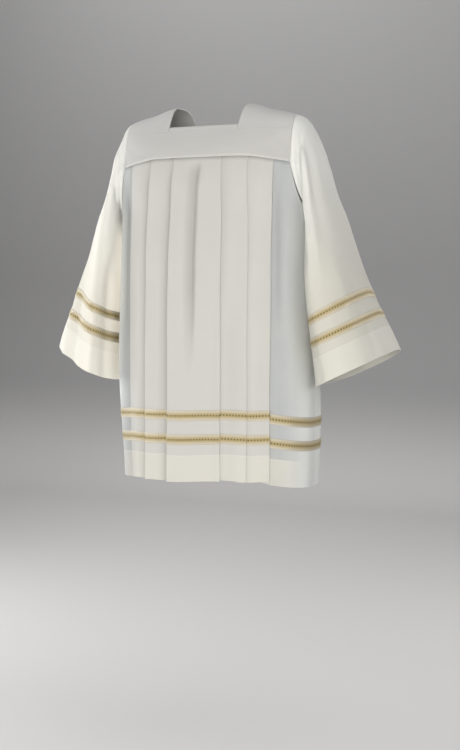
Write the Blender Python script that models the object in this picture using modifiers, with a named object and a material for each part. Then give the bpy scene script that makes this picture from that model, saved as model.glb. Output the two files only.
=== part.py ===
# Pleated surplice: a square-necked yoke, a knife-pleated front and back,
# two flared sleeves, and pairs of braids round the hem and the cuffs.
# Metres, +Z up. The front faces -Y and the wearer's left side is +X.
# The origin lies between the shoulders, level with the neck.
# Each piece of cloth is a mid-surface worked out as a grid and given its wall by Solidify.

import bpy
import math
import numpy as np

GARMENT = "surplice"

# Walls and seams
CLOTH = 0.0010
YOKE_CLOTH = 0.0016
BRAID_CLOTH = 0.0006
SEAM_GAP = 0.0003

# Heights
YOKE_SEAM_Z = -0.124
YOKE_END_DIP = 0.014
YOKE_DIP_START = 0.117
SHOULDER_SEAM_Z = -0.060
NECK_EDGE_Z = {-1: -0.051, 1: -0.030}
UNDERARM_Z = -0.250
YOKE_TURN = 0.002
HEM_Z = -0.849
SHOULDER_BASE_Z = -0.200
PLAIN_ROWS_Z = (-0.400, -0.550, -0.680, HEM_Z)

# Half-widths
YOKE_HALF = 0.203
NECK_HALF_CORNER = 0.083
NECK_HALF_TOP = 0.0905

# Knife pleats: each fold lies over the next one towards the side seam
FOLD_PITCH = 0.0018
UNDER_PITCH = 0.0032
PLEAT_DEPTH = 0.022
PLEAT_STEP = FOLD_PITCH + UNDER_PITCH
UNDER_REACH = 0.002     # how far the lowest layer runs out past the fold before it rises
RISE_MARGIN = 0.004     # and how far before the next pleat's inner fold it has risen
SIDE_RISE_SHARE = 0.45  # share of the side panel over which it rises from the last pleat

# Braids: distance of the middle of each from the free edge, and their width
BRAID_WIDTH = 0.023
HEM_BRAIDS = {"lower": 0.092, "upper": 0.148}
CUFF_BRAIDS = {"lower": 0.094, "upper": 0.145}
BRAID_LIFT = CLOTH / 2 + SEAM_GAP + BRAID_CLOTH / 2

# The body seen from above, one row for each height
BODY = np.array([
    # z       half_width  front_depth  back_depth  squareness
    (-0.030,  0.300,      0.1385,      0.1240,     2.8),
    (-0.060,  0.262,      0.1385,      0.1240,     2.8),
    (-0.128,  0.230,      0.1385,      0.1240,     2.8),
    (-0.200,  0.229,      0.1385,      0.1260,     2.7),
    (-0.360,  0.230,      0.1500,      0.1400,     2.6),
    (-0.550,  0.237,      0.1550,      0.1550,     2.5),
    (-0.700,  0.242,      0.1570,      0.1700,     2.4),
    (-0.880,  0.236,      0.1600,      0.1760,     2.4),
])

# The shoulder seen from the side: share of the depth, and share of the height
SHOULDER_ARCH = np.array([
    # depth  height
    (1.000,  0.000),
    (0.985,  0.120),
    (0.909,  0.353),
    (0.800,  0.560),
    (0.652,  0.745),
    (0.480,  0.900),
    (0.326,  0.970),
    (0.160,  0.995),
    (0.000,  1.000),
])

# The shoulder line from the neck outwards
SHOULDER_LINE = np.array([
    # x      z
    (0.000,  0.004),
    (0.090,  0.004),
    (0.140, -0.010),
    (0.175, -0.0175),
    (0.203, -0.0265),
    (0.240, -0.0450),
])

# How far out from the middle each pleat's fold lies
PLEATS = [
    # at_yoke  at_chest  at_hem
    (0.0575,   0.0640,   0.0650),
    (0.1170,   0.1240,   0.1240),
    (0.1720,   0.1720,   0.1710),
]
PLEAT_HEIGHTS = (YOKE_SEAM_Z, -0.360, HEM_Z)

# How far the plain side panels hang below the pleated part
SIDE_DROP = {-1: 0.009, 1: 0.020}
DROP_OVER = 0.35        # the drop grows over this height below the yoke
DROP_AT_FOLD = 0.3      # share of the drop beside the last pleat

# Left sleeve rings below the armhole: their outermost and innermost points, front to
# back half-depth, and squareness
SLEEVE = np.array([
    # out_x   out_y   out_z    in_x    in_y    in_z     depth   squareness
    (0.2290,  0.010, -0.0600,  0.2340, 0.000, -0.2750,  0.0920, 2.2),
    (0.2475,  0.017, -0.1200,  0.2345, 0.000, -0.3050,  0.1010, 2.5),
    (0.2635,  0.023, -0.1900,  0.2350, 0.000, -0.3350,  0.1100, 2.8),
    (0.2830,  0.028, -0.2460,  0.2360, 0.000, -0.3700,  0.1180, 3.0),
    (0.3060,  0.033, -0.3200,  0.2375, 0.001, -0.4150,  0.1270, 3.0),
    (0.3390,  0.040, -0.4070,  0.2400, 0.003, -0.4690,  0.1340, 2.8),
    (0.4070,  0.055, -0.5590,  0.2540, 0.006, -0.6350,  0.1400, 2.4),
])

# The sleeves don't hang alike: how each ring's outermost point moves on the right one,
# and how far the front of each ring hangs down, left (1) and right (-1)
RIGHT_OUT_CHANGE = np.array([
    # x       z
    (0.000,   0.000),
    (0.000,   0.000),
    (-0.002,  0.000),
    (-0.004,  0.002),
    (-0.006,  0.005),
    (-0.006,  0.012),
    (-0.012,  0.018),
])
FRONT_SAG = {
    1: (0.0, 0.0, 0.001, 0.002, 0.004, 0.007, 0.010),
    -1: (0.0, 0.0, -0.001, -0.002, -0.004, -0.007, -0.009),
}
BACK_SAG = 0.003

# Where a sleeve leaves the armhole: its first stretch, how far it stands off the yoke
# and the underarm, the way it leaves the underarm, and how early that way takes over
SLEEVE_START = 0.006
YOKE_CLEAR = 0.00045
UNDERARM_CLEAR = 0.0011
UNDERARM_WAY = (0.7, 0, -0.8)
UNDERARM_BLEND = 0.7
PANEL_EDGE_LEAN = (1, 2, 0)

# Grid sizes
ARMHOLE_STEPS = {"shoulder": 5, "band": 3, "panel": 5}
BAND_COLUMNS = {"neck": 4, "collarbone": 3, "end": 6}
SHOULDER_COLUMNS = 7
SIDE_STEPS = 9
ARCH_SAMPLES = 240
SECTION_SAMPLES = 400

COLOURS = {
    # finish: base colour, roughness
    "body_cloth": ((0.80, 0.79, 0.74), 0.80),
    "yoke_cloth": ((0.80, 0.79, 0.75), 0.80),
    "sleeve_cloth": ((0.86, 0.84, 0.77), 0.80),
    "gold_braid": ((0.52, 0.42, 0.22), 0.55),
}


def unit(vectors):
    """Vectors made one long."""
    return vectors / np.linalg.norm(vectors, axis=-1, keepdims=True)


def smooth_curve(points, count):
    """A Catmull-Rom curve through the points, sampled evenly along the points' own spacing."""
    points = np.asarray(points, float)
    ends = np.vstack([2 * points[0] - points[1], points, 2 * points[-1] - points[-2]])
    position = np.linspace(0, len(points) - 1, count)
    index = np.minimum(position.astype(int), len(points) - 2)
    t = (position - index)[:, None]
    a, b, c, d = ends[index], ends[index + 1], ends[index + 2], ends[index + 3]
    return 0.5 * (2 * b + (c - a) * t + (2 * a - 5 * b + 4 * c - d) * t ** 2
                  + (3 * b - a - 3 * c + d) * t ** 3)


ARCH = smooth_curve(SHOULDER_ARCH, ARCH_SAMPLES)


def shoulder_z(x):
    """Height of the top of the shoulder at a distance from the middle."""
    line = smooth_curve(SHOULDER_LINE, ARCH_SAMPLES)
    return np.interp(np.abs(x), line[:, 0], line[:, 1])


def body_sizes(z, side):
    """Half-width, depth and squareness of the body at a height, front (-1) or back (1)."""
    z = np.asarray(z, float)
    depth_column = 2 if side < 0 else 3
    return [np.interp(-z, -BODY[:, 0], BODY[:, k]) for k in (1, depth_column, 4)]


def body_y(x, z, side):
    """The body's outer surface: a superellipse seen from above, drawn in towards the shoulder."""
    width, depth, squareness = body_sizes(z, side)
    plan = np.maximum(1 - (np.abs(x) / width) ** squareness, 0) ** (1 / squareness)
    rise = (z - SHOULDER_BASE_Z) / (shoulder_z(x) - SHOULDER_BASE_Z)
    draw_in = np.interp(np.clip(rise, 0, 1), ARCH[:, 1], ARCH[:, 0])
    return side * depth * plan * draw_in


def yoke_dip(x):
    """How far the yoke's seam falls towards the armhole."""
    return YOKE_END_DIP * np.clip((np.abs(x) - YOKE_DIP_START) / (YOKE_HALF - YOKE_DIP_START), 0, 1)


def half_section(z, side, dip_share=0.0):
    """Points of the body's outline at a height, from the middle to the side seam."""
    width = float(body_sizes(z, side)[0])
    x = width * np.sin(np.linspace(0, math.pi / 2, SECTION_SAMPLES))
    height = z - yoke_dip(x) * dip_share
    return x, body_y(x, height, side), height


def armhole(side):
    """The armhole below the yoke: heights, depths, and what is left of the yoke's dip."""
    start_z = YOKE_SEAM_Z - YOKE_END_DIP
    start_y = abs(float(body_y(YOKE_HALF, start_z, side)))
    turn = np.linspace(0, math.pi / 2, ARMHOLE_STEPS["panel"] + 1)
    dip_shares = np.linspace(1, 0, len(turn))
    return start_z + (UNDERARM_Z - start_z) * np.sin(turn), start_y * np.cos(turn), dip_shares


def shoulder_surface(x, arch_share, side):
    """Points over the shoulder: arch_share runs from the body's depth (0) to the top (1)."""
    place = arch_share * (ARCH_SAMPLES - 1)
    samples = np.arange(ARCH_SAMPLES)
    rise = np.interp(place, samples, ARCH[:, 1])
    draw_in = np.interp(place, samples, ARCH[:, 0])
    z = SHOULDER_BASE_Z + (shoulder_z(x) - SHOULDER_BASE_Z) * rise
    width, depth, squareness = body_sizes(z, side)
    plan = np.maximum(1 - (np.abs(x) / width) ** squareness, 0) ** (1 / squareness)
    return np.stack([x, side * depth * plan * draw_in, z], -1)


def arch_share_at(x, z):
    """The arch share at which the surface over x reaches a height."""
    rise = (z - SHOULDER_BASE_Z) / (shoulder_z(x) - SHOULDER_BASE_Z)
    return np.interp(rise, ARCH[:, 1], np.arange(ARCH_SAMPLES)) / (ARCH_SAMPLES - 1)


def shoulder_normal(x, arch_share, side):
    """Outward normals of the shoulder surface, from small steps both ways."""
    step, share_step = 0.002, 0.02
    across = shoulder_surface(x + step, arch_share, side) - shoulder_surface(x - step, arch_share, side)
    low = np.clip(arch_share - share_step / 2, 0, 1 - share_step * 1.5)
    up = shoulder_surface(x, low + share_step, side) - shoulder_surface(x, low, side)
    return unit(np.cross(across, up) * -side)


def add_sheet(name, grid, thickness, finish, closed=False):
    """A piece of cloth: a grid of mid-surface points, closed into a tube or open, with a wall."""
    rows, columns = grid.shape[:2]
    number = np.arange(rows * columns).reshape(rows, columns)
    if closed:
        number = np.hstack([number, number[:, :1]])
    faces = np.stack([number[:-1, :-1], number[:-1, 1:], number[1:, 1:], number[1:, :-1]], -1)
    mesh = bpy.data.meshes.new(name)
    mesh.from_pydata(grid.reshape(-1, 3).tolist(), [], faces.reshape(-1, 4).tolist())
    mesh.materials.append(finishes[finish])
    piece = bpy.data.objects.new(name, mesh)
    garment.objects.link(piece)
    wall = piece.modifiers.new("wall", "SOLIDIFY")
    wall.thickness = thickness
    wall.offset = 0
    wall.use_even_offset = True
    split = piece.modifiers.new("triangles", "TRIANGULATE")
    split.quad_method = "FIXED"
    return piece


def pleat_profile(edges, end):
    """Half of a panel from the middle to its end, as distance along the body and depth below it."""
    radius = FOLD_PITCH / 2
    path = [(0.0, 0.0), (edges[0] / 2, 0.0)]
    for number, edge in enumerate(edges):
        path += [(edge - radius, 0.0),
                 (edge, -radius),
                 (edge - radius, -FOLD_PITCH),
                 (edge - PLEAT_DEPTH, -FOLD_PITCH),
                 (edge - PLEAT_DEPTH, -PLEAT_STEP),
                 (edge + UNDER_REACH, -PLEAT_STEP)]
        if number + 1 < len(edges):
            path.append((edges[number + 1] - PLEAT_DEPTH - RISE_MARGIN, 0.0))
    start = edges[-1] + UNDER_REACH
    for step in range(1, SIDE_STEPS + 1):
        share = step / SIDE_STEPS
        path.append((start + (end - start) * share, -PLEAT_STEP * max(0.0, 1 - share / SIDE_RISE_SHARE)))
    return np.array(path)


def miter_normals(path):
    """Offsets at each point of a flat path that keep every stretch the same distance away."""
    along = unit(np.diff(path, axis=0))
    left = np.stack([-along[:, 1], along[:, 0]], -1)
    before = np.vstack([left[:1], left])
    after = np.vstack([left, left[-1:]])
    return (before + after) / (1 + (before * after).sum(-1, keepdims=True))


def panel_row(z, side, end_y, dip_share, lift):
    """One row of a pleated panel, from the wearer's right to left, moved out by lift."""
    x, y, height = half_section(z, side, dip_share)
    along = np.concatenate([[0], np.cumsum(np.hypot(np.diff(x), np.diff(y)))])
    end = np.interp(-end_y - SEAM_GAP / 2, -np.abs(y), along)
    across = [np.interp(-z, [-height for height in PLEAT_HEIGHTS], row) for row in PLEATS]
    edges = np.interp(across, x, along)
    flat = pleat_profile(edges, end)
    path = flat + miter_normals(flat) * lift
    slope = np.stack([np.gradient(x, along), np.gradient(y, along)], -1)
    place = np.stack([np.interp(path[:, 0], along, x), np.interp(path[:, 0], along, y)], -1)
    heading = unit(np.stack([np.interp(path[:, 0], along, slope[:, k]) for k in (0, 1)], -1))
    outward = np.stack([-side * heading[:, 1], side * heading[:, 0]], -1)
    place = place + outward * (path[:, 1] - CLOTH / 2)[:, None]
    share = np.clip((flat[:, 0] - edges[-1]) / (end - edges[-1]), 0, 1)
    beyond = DROP_AT_FOLD + (1 - DROP_AT_FOLD) * np.sin(share * math.pi / 2)
    hang = np.where(flat[:, 0] > edges[-1] + UNDER_REACH / 2, beyond, 0)
    hang = hang * np.clip((YOKE_SEAM_Z - z) / DROP_OVER, 0, 1)
    level = np.interp(path[:, 0], along, height)
    left_half = np.column_stack([place, level - SIDE_DROP[1] * hang])
    right_half = np.column_stack([-place[:, 0], place[:, 1], level - SIDE_DROP[-1] * hang])
    return np.vstack([right_half[:0:-1], left_half])


def panel_rows(side):
    """Each row's height in the middle, how far from the side seam it ends, and its dip."""
    heights, ends, dips = armhole(side)
    middles = heights + YOKE_END_DIP * dips
    middles[0] -= SEAM_GAP
    return list(zip(middles, ends, dips)) + [(z, 0.0, 0.0) for z in PLAIN_ROWS_Z]


def add_panel(name, side):
    """A pleated panel, from the yoke seam to the hem."""
    rows = [panel_row(z, side, end_y, dip, 0.0) for z, end_y, dip in panel_rows(side)]
    add_sheet(name, np.array(rows)[:, ::-side], CLOTH, "body_cloth")


def add_hem_braids(face, side):
    """The braids of one panel: its own points moved out, between two heights above the hem."""
    upper, lower = [panel_row(z, side, 0.0, 0.0, BRAID_LIFT) for z in PLAIN_ROWS_Z[-2:]]
    depth = PLAIN_ROWS_Z[-2] - HEM_Z
    for place, distance in HEM_BRAIDS.items():
        shares = [(distance + sign * BRAID_WIDTH / 2) / depth for sign in (1, -1)]
        grid = np.array([lower + (upper - lower) * share for share in shares])
        add_sheet(f"hem_braid_{face}_{place}", grid[:, ::-side], BRAID_CLOTH, "gold_braid")


def add_yoke_band(name, side):
    """The band across the chest or the back, below the neck and the shoulder pieces."""
    half = np.concatenate([
        np.linspace(0, NECK_HALF_CORNER, BAND_COLUMNS["neck"]),
        np.linspace(NECK_HALF_CORNER + SEAM_GAP, YOKE_DIP_START, BAND_COLUMNS["collarbone"]),
        np.linspace(YOKE_DIP_START, YOKE_HALF, BAND_COLUMNS["end"])[1:]])
    x = np.concatenate([-half[:0:-1], half])
    top = np.where(np.abs(x) <= NECK_HALF_CORNER + SEAM_GAP / 2, NECK_EDGE_Z[side],
                   SHOULDER_SEAM_Z - SEAM_GAP / 2)
    first = arch_share_at(x, YOKE_SEAM_Z - yoke_dip(x) + YOKE_TURN)
    last = arch_share_at(x, top)
    rows = []
    for step in range(ARMHOLE_STEPS["band"] + 1):
        share = first + (last - first) * step / ARMHOLE_STEPS["band"]
        normal = shoulder_normal(x, share, side)
        if step == 0:
            normal = unit(normal * (1, 1, 0))
        rows.append(shoulder_surface(x, share, side) - normal * YOKE_CLOTH / 2)
    rows.insert(0, rows[0] - (0, 0, YOKE_TURN))
    add_sheet(name, np.array(rows)[:, ::side], YOKE_CLOTH, "yoke_cloth")


def add_shoulder(name, hand):
    """The shoulder piece, from the front band over the shoulder to the back band."""
    steps = ARMHOLE_STEPS["shoulder"]
    rows = []
    for index in range(-steps, steps + 1):
        side = -1 if index <= 0 else 1
        top_share = 1 - abs(index) / steps
        neck = NECK_HALF_CORNER + SEAM_GAP * 2 + (NECK_HALF_TOP - NECK_HALF_CORNER) * top_share
        x = np.linspace(neck, YOKE_HALF, SHOULDER_COLUMNS)
        seam = arch_share_at(x, SHOULDER_SEAM_Z + SEAM_GAP / 2)
        share = seam + (1 - seam) * top_share
        normal = shoulder_normal(x, share, side)
        if index == 0:
            normal = unit(normal * (1, 0, 1))
        rows.append((shoulder_surface(x, share, side) - normal * YOKE_CLOTH / 2) * (hand, 1, 1))
    add_sheet(name, np.array(rows)[:, ::hand], YOKE_CLOTH, "yoke_cloth")


def armhole_ring():
    """The armhole from the top, down the front, under the arm and up the back."""
    halves = []
    for side in (-1, 1):
        seam = arch_share_at(YOKE_HALF, SHOULDER_SEAM_Z)
        low = arch_share_at(YOKE_HALF, YOKE_SEAM_Z - YOKE_END_DIP)
        shares = np.concatenate([np.linspace(1, seam, ARMHOLE_STEPS["shoulder"] + 1),
                                 np.linspace(seam, low, ARMHOLE_STEPS["band"] + 1)[1:]])
        edge = np.full(len(shares), YOKE_HALF)
        points = shoulder_surface(edge, shares, side)
        normals = shoulder_normal(edge, shares, side)
        normals[0] = unit(normals[0] * (1, 0, 1))
        heights, depths, _ = armhole(side)
        for z, depth in zip(heights[1:], depths[1:]):
            x, y, _ = half_section(z, side)
            place = np.interp(-depth, -np.abs(y), x)
            points = np.vstack([points, (place, side * depth, z)])
            heading = unit(np.array([place, side * depth, z]) * PANEL_EDGE_LEAN)
            normals = np.vstack([normals, heading])
        halves.append((points, normals))
    points = np.vstack([halves[0][0], halves[1][0][-2:0:-1]])
    normals = np.vstack([halves[0][1], halves[1][1][-2:0:-1]])
    return points, normals


def sleeve_grid(hand):
    """Mid-surface rings of a sleeve, from the armhole to the cuff, as if on the left side."""
    edge, normals = armhole_ring()
    count = len(edge)
    lengths = np.linalg.norm(np.diff(np.vstack([edge, edge[:1]]), axis=0), axis=1)
    half = count // 2
    turn = np.concatenate([[0], np.cumsum(lengths)])[:-1]
    under = turn[half]
    angle = np.where(np.arange(count) <= half, math.pi * turn / under,
                     math.pi + math.pi * (turn - under) / (lengths.sum() - under))
    seam_end = YOKE_SEAM_Z - YOKE_END_DIP
    low = np.clip((seam_end - edge[:, 2]) / (seam_end - UNDERARM_Z), 0, 1) ** UNDERARM_BLEND
    low = low[:, None]
    first = edge + (1 - low) * (normals * -CLOTH / 2 + (YOKE_CLEAR, 0, 0)) + low * (UNDERARM_CLEAR, 0, 0)
    tangent = unit(np.cross(normals, np.roll(edge, -1, 0) - np.roll(edge, 1, 0)))
    leave = unit((1 - low) * tangent + low * UNDERARM_WAY)
    rings = [first, first + leave * SLEEVE_START]
    for row, change, sag in zip(SLEEVE, RIGHT_OUT_CHANGE, FRONT_SAG[hand]):
        outer, inner, (depth, squareness) = row[:3], row[3:6], row[6:]
        if hand < 0:
            outer = outer + (change[0], 0, change[1])
        cosine, sine = np.cos(angle), np.sin(angle)
        power = 2 / squareness
        across = np.sign(cosine) * np.abs(cosine) ** power
        deep = -np.sign(sine) * np.abs(sine) ** power
        ring = (outer + inner) / 2 + across[:, None] * (outer - inner) / 2
        hang = np.maximum(-deep, 0) * sag + np.maximum(deep, 0) * BACK_SAG * abs(sag / FRONT_SAG[hand][-1])
        rings.append(ring + deep[:, None] * (0, depth, 0) - hang[:, None] * (0, 0, 1))
    above, cuff = rings[-2], rings.pop()
    run = np.linalg.norm(above - cuff, axis=1)[:, None]
    edges = [distance + sign * BRAID_WIDTH / 2 for distance in CUFF_BRAIDS.values() for sign in (-1, 1)]
    rings += [cuff + (above - cuff) * edge / run for edge in sorted(edges, reverse=True)]
    return np.array(rings + [cuff])


def ring_offsets(ring, cuff):
    """Steps out from a sleeve ring that keep each of its stretches the same distance away."""
    after = unit(np.roll(ring, -1, 0) - ring)
    before = np.roll(after, 1, 0)
    normal = unit(np.cross(unit(after + before), ring - cuff))
    bend = np.sqrt((1 + (before * after).sum(-1, keepdims=True)) / 2)
    return normal / bend


def add_sleeve(name, hand):
    """A sleeve with its two braids. The right one is worked out on the left and mirrored."""
    grid = sleeve_grid(hand)
    mirror = np.array([hand, 1, 1])
    add_sheet(f"sleeve_{name}", (grid * mirror)[:, ::-hand], CLOTH, "sleeve_cloth", closed=True)
    for place, first in (("upper", -5), ("lower", -3)):
        rings = grid[first:first + 2]
        rows = [(ring + ring_offsets(ring, grid[-1]) * BRAID_LIFT) * mirror for ring in rings]
        add_sheet(f"sleeve_braid_{name}_{place}", np.array(rows)[:, ::-hand],
                  BRAID_CLOTH, "gold_braid", closed=True)


def make_finish(name, colour, roughness):
    """A cloth finish."""
    finish = bpy.data.materials.new(name)
    finish.use_nodes = True
    shader = finish.node_tree.nodes["Principled BSDF"]
    shader.inputs["Base Color"].default_value = (*colour, 1)
    shader.inputs["Roughness"].default_value = roughness
    shader.inputs["Metallic"].default_value = 0
    finish.diffuse_color = (*colour, 1)
    return finish


for old in list(bpy.data.objects):
    bpy.data.objects.remove(old)
garment = bpy.data.collections.new(GARMENT)
bpy.context.scene.collection.children.link(garment)
finishes = {name: make_finish(name, *values) for name, values in COLOURS.items()}

for face, side in (("front", -1), ("back", 1)):
    add_yoke_band(f"yoke_{face}", side)
    add_panel(f"{face}_panel", side)
    add_hem_braids(face, side)
for name, hand in (("left", 1), ("right", -1)):
    add_shoulder(f"yoke_shoulder_{name}", hand)
    add_sleeve(name, hand)
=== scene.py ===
import math

import bpy
import numpy as np
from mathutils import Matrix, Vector


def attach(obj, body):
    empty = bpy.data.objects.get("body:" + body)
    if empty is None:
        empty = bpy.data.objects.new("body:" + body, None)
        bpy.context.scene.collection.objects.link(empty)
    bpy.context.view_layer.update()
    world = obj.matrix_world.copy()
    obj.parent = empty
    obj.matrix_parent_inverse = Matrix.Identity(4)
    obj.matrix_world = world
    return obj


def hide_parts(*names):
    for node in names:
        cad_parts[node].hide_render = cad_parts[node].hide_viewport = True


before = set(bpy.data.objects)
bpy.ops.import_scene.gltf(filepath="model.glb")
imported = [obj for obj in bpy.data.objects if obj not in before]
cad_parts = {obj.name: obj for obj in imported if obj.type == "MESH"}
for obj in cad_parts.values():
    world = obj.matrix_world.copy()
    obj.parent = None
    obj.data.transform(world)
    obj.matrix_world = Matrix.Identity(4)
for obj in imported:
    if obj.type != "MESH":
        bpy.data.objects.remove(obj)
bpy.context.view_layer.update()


# Curves and grids

# vectors made one long
def unit(vectors):
    return vectors / np.maximum(np.linalg.norm(vectors, axis=-1, keepdims=True), 1e-9)


# a share from 0 to 1 that starts and ends level: 3 t^2 - 2 t^3
def ease(share):
    share = np.clip(share, 0, 1)
    return share * share * (3 - 2 * share)


# distance along a row of points, starting from 0
def lengthAlong(points):
    steps = np.linalg.norm(np.diff(points, axis=0), axis=1)
    return np.concatenate([[0], np.cumsum(steps)])


# the values of a row of points at the given distances along it
def pointsAt(spots, along, points):
    return np.column_stack([np.interp(spots, along, values) for values in points.T])


# a cubic through each value; its slope is the harmonic mean of the slopes beside it, so it never
# swings past a value
def smoothThrough(knots, values, places):
    knots, values = np.asarray(knots, float), np.asarray(values, float)
    places = np.clip(places, knots[0], knots[-1])
    tail = (1,) * (values.ndim - 1)
    gaps = np.diff(knots).reshape((-1,) + tail)
    rise = np.diff(values, axis=0) / gaps
    before, after = rise[:-1], rise[1:]
    same = before * after > 0
    mean = np.where(same, 2 * before * after / np.where(same, before + after, 1), 0)
    slopes = np.concatenate([rise[:1], mean, rise[-1:]])
    index = np.clip(np.searchsorted(knots, places, "right") - 1, 0, len(knots) - 2)
    gap = gaps[index]
    t = (places - knots[index]).reshape(np.shape(places) + tail) / gap
    return ((1 + 2 * t) * (1 - t) ** 2 * values[index] + t * (1 - t) ** 2 * gap * slopes[index]
            + t * t * (3 - 2 * t) * values[index + 1] + t * t * (t - 1) * gap * slopes[index + 1])


# a Catmull-Rom curve through the points, sampled evenly along their own spacing
def throughPoints(points, count):
    points = np.asarray(points, float)
    ends = np.vstack([2 * points[0] - points[1], points, 2 * points[-1] - points[-2]])
    position = np.linspace(0, len(points) - 1, count)
    index = np.minimum(position.astype(int), len(points) - 2)
    t = (position - index)[:, None]
    a, b, c, d = ends[index], ends[index + 1], ends[index + 2], ends[index + 3]
    return 0.5 * (2 * b + (c - a) * t + (2 * a - 5 * b + 4 * c - d) * t ** 2
                  + (3 * b - a - 3 * c + d) * t ** 3)


# normals of a grid: the cross product of its directions along the columns and the rows, turned to the
# side that outward points to
def gridNormals(grid, outward, closed=False):
    if closed:
        ahead, behind = np.roll(grid, -1, 1) - grid, grid - np.roll(grid, 1, 1)
    else:
        steps = np.diff(grid, axis=1)
        ahead = np.concatenate([steps, steps[:, -1:]], 1)
        behind = np.concatenate([steps[:, :1], steps], 1)
    across = unit(ahead) + unit(behind)
    normals = unit(np.cross(across, np.gradient(grid, axis=0)))
    return normals if np.sum(normals * outward) > 0 else -normals


# soft troughs and ridges: each crease lifts the points near its line by height * exp(-(d / width)^power),
# where d is the distance to the line, and fades over the given shares of the line at its ends. A pair
# of widths holds for the points at smaller and at larger x than the line
def creaseHeights(points, creases):
    total = np.zeros(points.shape[:-1])
    for line, width, height, fadeStart, fadeEnd, *power in creases:
        line = np.asarray(line, float)
        marks = lengthAlong(line) / lengthAlong(line)[-1]
        closest = np.full(points.shape[:-1], np.inf)
        place = np.zeros(points.shape[:-1])
        aside = np.zeros(points.shape[:-1])
        for start, end, first, last in zip(line[:-1], line[1:], marks[:-1], marks[1:]):
            run = end - start
            share = np.clip((points - start) @ run / (run @ run), 0, 1)
            apart = np.linalg.norm(points - start - share[..., None] * run, axis=-1)
            nearer = apart < closest
            closest = np.where(nearer, apart, closest)
            place = np.where(nearer, first + (last - first) * share, place)
            aside = np.where(nearer, points[..., 0] - start[0] - share * run[0], aside)
        reach = np.where(aside < 0, width[0], width[1]) if isinstance(width, tuple) else width
        fade = ease(place / fadeStart) if fadeStart else np.ones_like(place)
        if fadeEnd:
            fade = fade * ease((1 - place) / fadeEnd)
        total += height * fade * np.exp(-(closest / reach) ** (power[0] if power else 2))
    return total


# Meshes

def addMesh(name, vertices, faces, smooth, uv=None):
    mesh = bpy.data.meshes.new(name)
    mesh.from_pydata(vertices, [], faces)
    mesh.polygons.foreach_set("use_smooth", smooth)
    if uv is not None:
        layer = mesh.uv_layers.new(name="cloth")
        layer.data.foreach_set("uv", uv.astype(np.float32).ravel())
    mesh.update()
    piece = bpy.data.objects.new(name, mesh)
    bpy.context.scene.collection.objects.link(piece)
    return piece


# a thin shell round a grid of mid-surface points: an outer and an inner layer and the edges between
# them. measures are metres along and across the cloth, with one column more than a closed grid. The last
# argument is a share for each point, kept as an attribute for painted light: on a sleeve the strength of
# its painted glow, on a panel the painted shade of a point, by how deep it lies in its fold
def shell(name, middle, normals, outside, inside, measures, closed=False, tone=None):
    rows, columns = middle.shape[:2]
    outer, inner = middle + normals * outside, middle - normals * inside
    index = np.arange(rows * columns).reshape(rows, columns)
    if closed:
        index = np.hstack([index, index[:, :1]])
    ruler = np.arange(measures.shape[0] * measures.shape[1]).reshape(measures.shape[:2])

    def quads(grid):
        return np.stack([grid[:-1, :-1], grid[:-1, 1:], grid[1:, 1:], grid[1:, :-1]], -1).reshape(-1, 4)

    def edges(grid, under):
        lines = [(grid[0], under[0]), (under[-1], grid[-1])]
        if not closed:
            lines += [(under[:, 0], grid[:, 0]), (grid[:, -1], under[:, -1])]
        return [np.stack([a[1:], a[:-1], b[:-1], b[1:]], -1) for a, b in lines]

    below = index + rows * columns
    faces = np.vstack([quads(index), quads(below)[:, ::-1]] + edges(index, below))
    corners = np.vstack([quads(ruler), quads(ruler)[:, ::-1]] + edges(ruler, ruler))
    facing = np.cross(middle[1:, :-1] - middle[:-1, :-1], middle[:-1, 1:] - middle[:-1, :-1])
    if np.sum(facing * normals[:-1, :-1]) > 0:
        faces, corners = faces[:, ::-1], corners[:, ::-1]
    smooth = np.arange(len(faces)) < 2 * len(quads(index))
    points = np.concatenate([outer.reshape(-1, 3), inner.reshape(-1, 3)])
    piece = addMesh(name, points, faces, smooth, measures.reshape(-1, 2)[corners.ravel()])
    if tone is not None:
        layer = piece.data.attributes.new("tone", "FLOAT", "POINT")
        layer.data.foreach_set("value", np.tile(tone.ravel(), 2).astype(np.float32))
    return piece


# The body's form, as the solids have it

body = {
    "sections": np.array([
        # z      halfWidth front   back   squareness
        (-0.030, 0.300, 0.1385, 0.1240, 2.8),
        (-0.060, 0.262, 0.1385, 0.1240, 2.8),
        (-0.128, 0.230, 0.1385, 0.1240, 2.8),
        (-0.200, 0.229, 0.1385, 0.1260, 2.7),
        (-0.360, 0.230, 0.1500, 0.1400, 2.6),
        (-0.550, 0.237, 0.1550, 0.1550, 2.5),
        (-0.700, 0.242, 0.1570, 0.1700, 2.4),
        (-0.880, 0.236, 0.1600, 0.1760, 2.4),
    ]),
    "shoulderBase": -0.200,
    "shoulderArch": [
        # depth height, as shares
        (1.000, 0.000), (0.985, 0.120), (0.909, 0.353), (0.800, 0.560), (0.652, 0.745),
        (0.480, 0.900), (0.326, 0.970), (0.160, 0.995), (0.000, 1.000),
    ],
    "shoulderLine": [
        # x z
        (0.000, 0.004), (0.090, 0.004), (0.140, -0.010), (0.175, -0.0175), (0.203, -0.0265),
        (0.240, -0.0450),
    ],
    "wall": 0.0010,
    "seamGap": 0.0003,
    "turnedRise": 0.00012,    # how far a turned-up hem stands out, and how softly
    "turnedEdge": 0.0015,
    "hem": -0.849,
    "underarm": -0.250,
}

archSamples = 240
arch = throughPoints(body["shoulderArch"], archSamples)
shoulderLine = throughPoints(body["shoulderLine"], archSamples)


def shoulderHeight(x):
    return np.interp(np.abs(x), shoulderLine[:, 0], shoulderLine[:, 1])


# half-width, depth and squareness at a height, front (-1) or back (1)
def bodySizes(z, side):
    rows = smoothThrough(-body["sections"][:, 0], body["sections"][:, 1:], -np.asarray(z, float))
    return rows[..., 0], rows[..., 1 if side < 0 else 2], rows[..., 3]


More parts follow.
